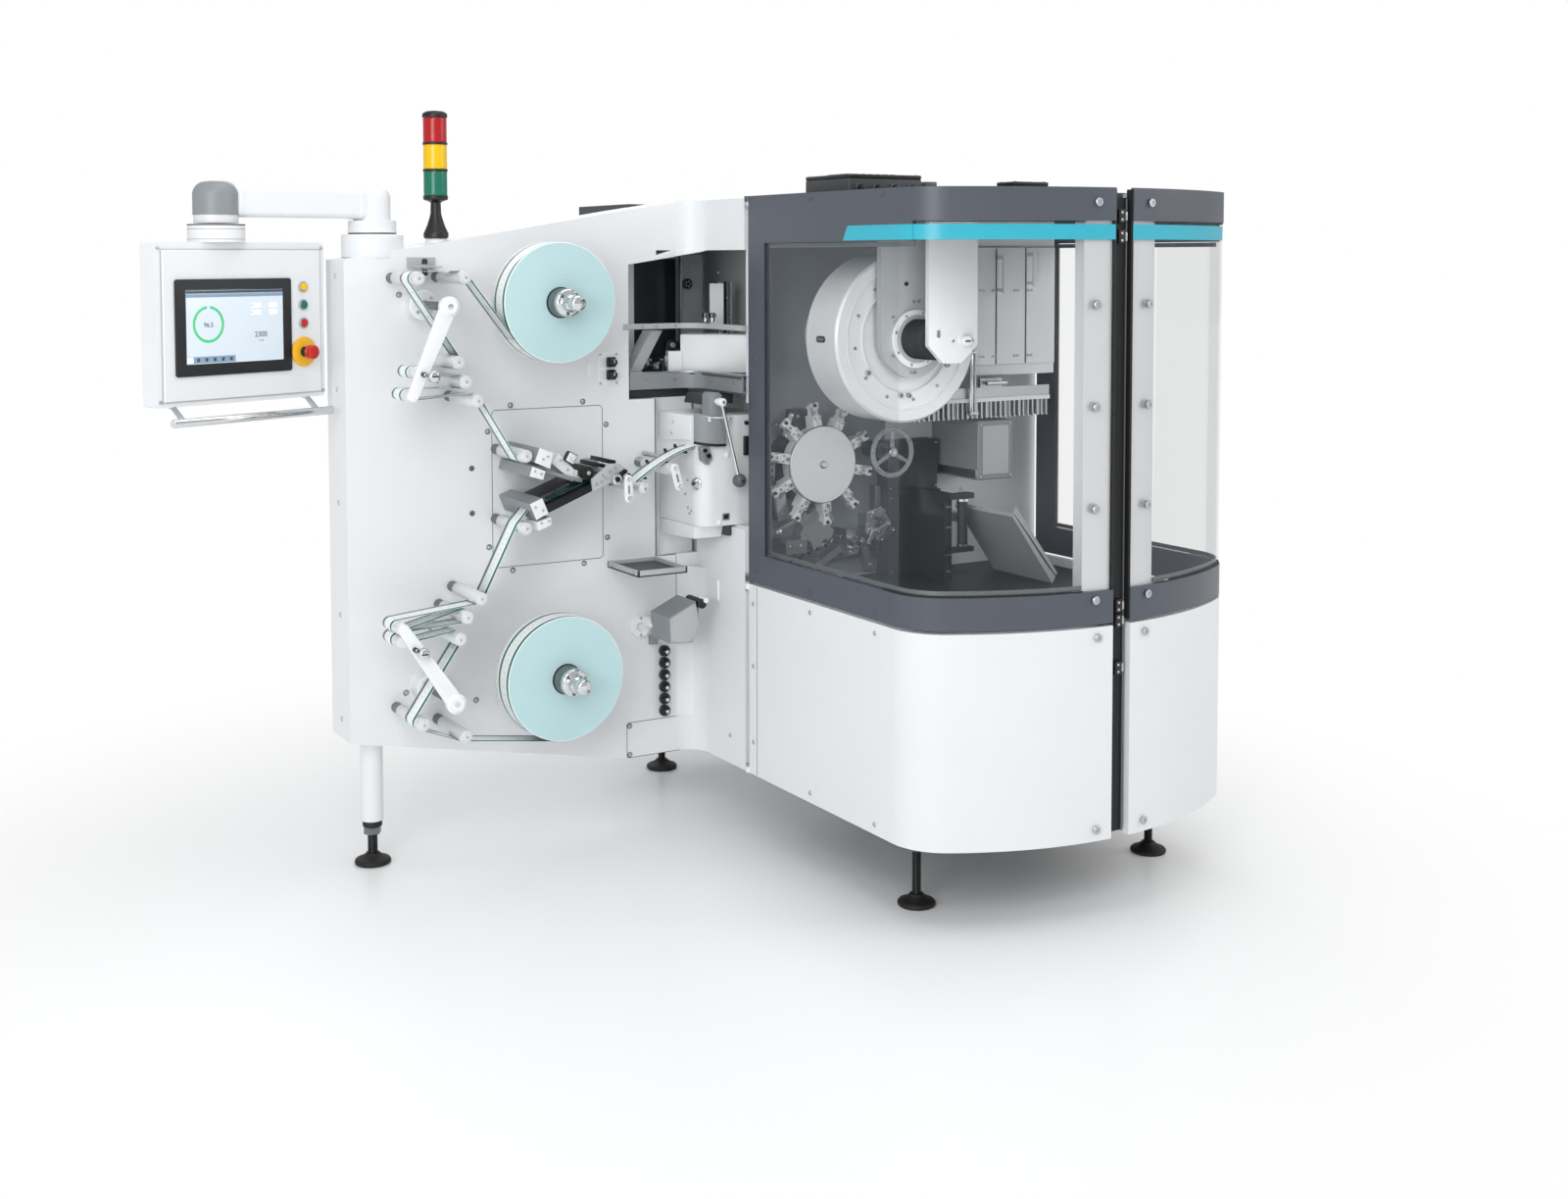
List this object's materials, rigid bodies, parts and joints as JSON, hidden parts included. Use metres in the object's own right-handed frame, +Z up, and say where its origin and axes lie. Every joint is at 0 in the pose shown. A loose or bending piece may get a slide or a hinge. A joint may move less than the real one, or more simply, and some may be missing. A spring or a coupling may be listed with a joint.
{
  "type": "candy wrapping machine",
  "caption": "Candy wrapping machine: a film wall with two reels, dancer arms and splicer, a swing-arm control panel, and a wrapping head and feed drum behind curved clear guard doors.",
  "frame": {"origin": "on the floor, under the middle of the bounding box", "axes": "+X runs along the film wall from the control panel to the guard, +Y runs from the guard doors to the back of the cabinet, +Z is up"},
  "size_m": [2.6845, 1.9045, 2.098],
  "materials": {
    "white_paint": "smooth white powder coat",
    "grey_paint": "blue-grey powder coat",
    "light_grey_paint": "light grey powder coat",
    "dark_sheet": "dark grey sheet steel",
    "black_metal": "black coated steel",
    "steel": "turned and brushed stainless steel",
    "chrome": "polished chrome",
    "aluminium": "anodised aluminium",
    "black_plastic": "black moulded plastic",
    "lamp_plastic": "ribbed coloured lamp plastic",
    "button_plastic": "coloured button plastic",
    "screen_glass": "touch screen glass over a display",
    "clear_plastic": "clear polycarbonate",
    "film": "wound printed wrapping film"
  },
  "bodies": {
    "machine": {"arm_base": "white_paint", "back_doors": "white_paint", "chamber_fittings": "light_grey_paint", "chamber_housing": "dark_sheet", "control_box": "grey_paint", "core_cabinet": "white_paint", "corner_wall": "white_paint", "drum_bellows": "black_plastic", "drum_column": "light_grey_paint", "feed_cabinet": "white_paint", "feed_hood": "white_paint", "feed_table": "light_grey_paint", "film_guide": "steel", "film_wall": "white_paint", "folding_stations": "steel", "front_post": "black_metal", "gear_housing": "white_paint", "guard_roof": "grey_paint", "guide_rollers": "aluminium", "hinge_pins": "steel", "left_leg": "white_paint", "lower_housing": "grey_paint", "machine_bed": "dark_sheet", "machine_feet": "black_metal", "outfeed_chute": "light_grey_paint", "roof_boxes": "black_metal", "side_panel": "white_paint", "splicer_covers": "light_grey_paint", "splicer_frame": "black_metal", "stack_light": "lamp_plastic", "wall_bearings": "steel", "wall_controls": "black_plastic", "wall_fittings": "light_grey_paint", "wrapping_body": "light_grey_paint"},
    "left_guard": {"left_guard_frame": "grey_paint", "left_guard_window": "clear_plastic", "left_guard_stile": "aluminium"},
    "right_guard": {"right_guard_frame": "grey_paint", "right_guard_window": "clear_plastic", "right_guard_stile": "aluminium"},
    "left_skirt_door": {"left_skirt": "white_paint"},
    "right_skirt_door": {"right_skirt": "white_paint"},
    "upper_reel": {"upper_reel_film": "film", "upper_reel_spindle": "chrome"},
    "lower_reel": {"lower_reel_film": "film", "lower_reel_spindle": "chrome"},
    "upper_dancer_arm": {"upper_dancer": "white_paint"},
    "lower_dancer_arm": {"lower_dancer": "white_paint"},
    "swing_arm": {"panel_arm": "white_paint", "arm_cap": "grey_paint"},
    "control_panel": {"panel_box": "white_paint", "panel_screen": "screen_glass", "panel_buttons": "button_plastic", "panel_handle": "steel"},
    "lever": {"hand_lever": "steel"},
    "drum": {"feed_drum": "white_paint"},
    "head": {"wrapping_head": "white_paint"},
    "transfer_wheel": {"gripper_wheel": "steel"},
    "crank_wheel": {"hand_wheel": "clear_plastic"}
  },
  "joints": [
    {"name": "left_guard_hinge", "type": "hinge", "parent": "machine", "child": "left_guard", "pos_m": [0.2762, 0.0273, 1.3], "axis": [0, 0, -1], "range_deg": [0, 80]},
    {"name": "right_guard_hinge", "type": "hinge", "parent": "machine", "child": "right_guard", "pos_m": [1.3322, 0.0273, 1.3], "axis": [0, 0, 1], "range_deg": [0, 80]},
    {"name": "left_skirt_hinge", "type": "hinge", "parent": "machine", "child": "left_skirt_door", "pos_m": [0.2762, 0.0273, 0.48], "axis": [0, 0, -1], "range_deg": [0, 80]},
    {"name": "right_skirt_hinge", "type": "hinge", "parent": "machine", "child": "right_skirt_door", "pos_m": [1.3322, 0.0273, 0.48], "axis": [0, 0, 1], "range_deg": [0, 80]},
    {"name": "upper_reel_spin", "type": "hinge", "parent": "machine", "child": "upper_reel", "pos_m": [-0.2558, 0.1723, 1.565], "axis": [0, 1, 0], "continuous": true},
    {"name": "lower_reel_spin", "type": "hinge", "parent": "machine", "child": "lower_reel", "pos_m": [-0.2468, 0.1723, 0.518], "axis": [0, 1, 0], "continuous": true},
    {"name": "upper_dancer_swing", "type": "hinge", "parent": "machine", "child": "upper_dancer_arm", "pos_m": [-0.5978, 0.1323, 1.56], "axis": [0, 1, 0], "range_deg": [-20, 20]},
    {"name": "lower_dancer_swing", "type": "hinge", "parent": "machine", "child": "lower_dancer_arm", "pos_m": [-0.5908, 0.1323, 0.505], "axis": [0, 1, 0], "range_deg": [-20, 20]},
    {"name": "arm_swing", "type": "hinge", "parent": "machine", "child": "swing_arm", "pos_m": [-0.6948, 0.4123, 1.79], "axis": [0, 0, -1], "range_deg": [-15, 40]},
    {"name": "panel_swivel", "type": "hinge", "parent": "swing_arm", "child": "control_panel", "pos_m": [-1.1398, 0.3173, 1.776], "axis": [0, 0, -1], "range_deg": [-30, 30]},
    {"name": "lever_turn", "type": "hinge", "parent": "machine", "child": "lever", "pos_m": [0.2122, 0.0703, 1.275], "axis": [0, 1, 0], "range_deg": [0, 90]},
    {"name": "drum_spin", "type": "hinge", "parent": "machine", "child": "drum", "pos_m": [0.5632, -0.2677, 1.465], "axis": [0, 1, 0], "continuous": true},
    {"name": "head_spin", "type": "hinge", "parent": "machine", "child": "head", "pos_m": [0.4702, -0.0477, 1.094], "axis": [0, 1, 0], "continuous": true},
    {"name": "transfer_spin", "type": "hinge", "parent": "machine", "child": "transfer_wheel", "pos_m": [0.4882, -0.0077, 0.905], "axis": [0, 1, 0], "continuous": true},
    {"name": "crank_spin", "type": "hinge", "parent": "machine", "child": "crank_wheel", "pos_m": [0.6962, -0.0877, 1.118], "axis": [0, 1, 0], "continuous": true}
  ]
}
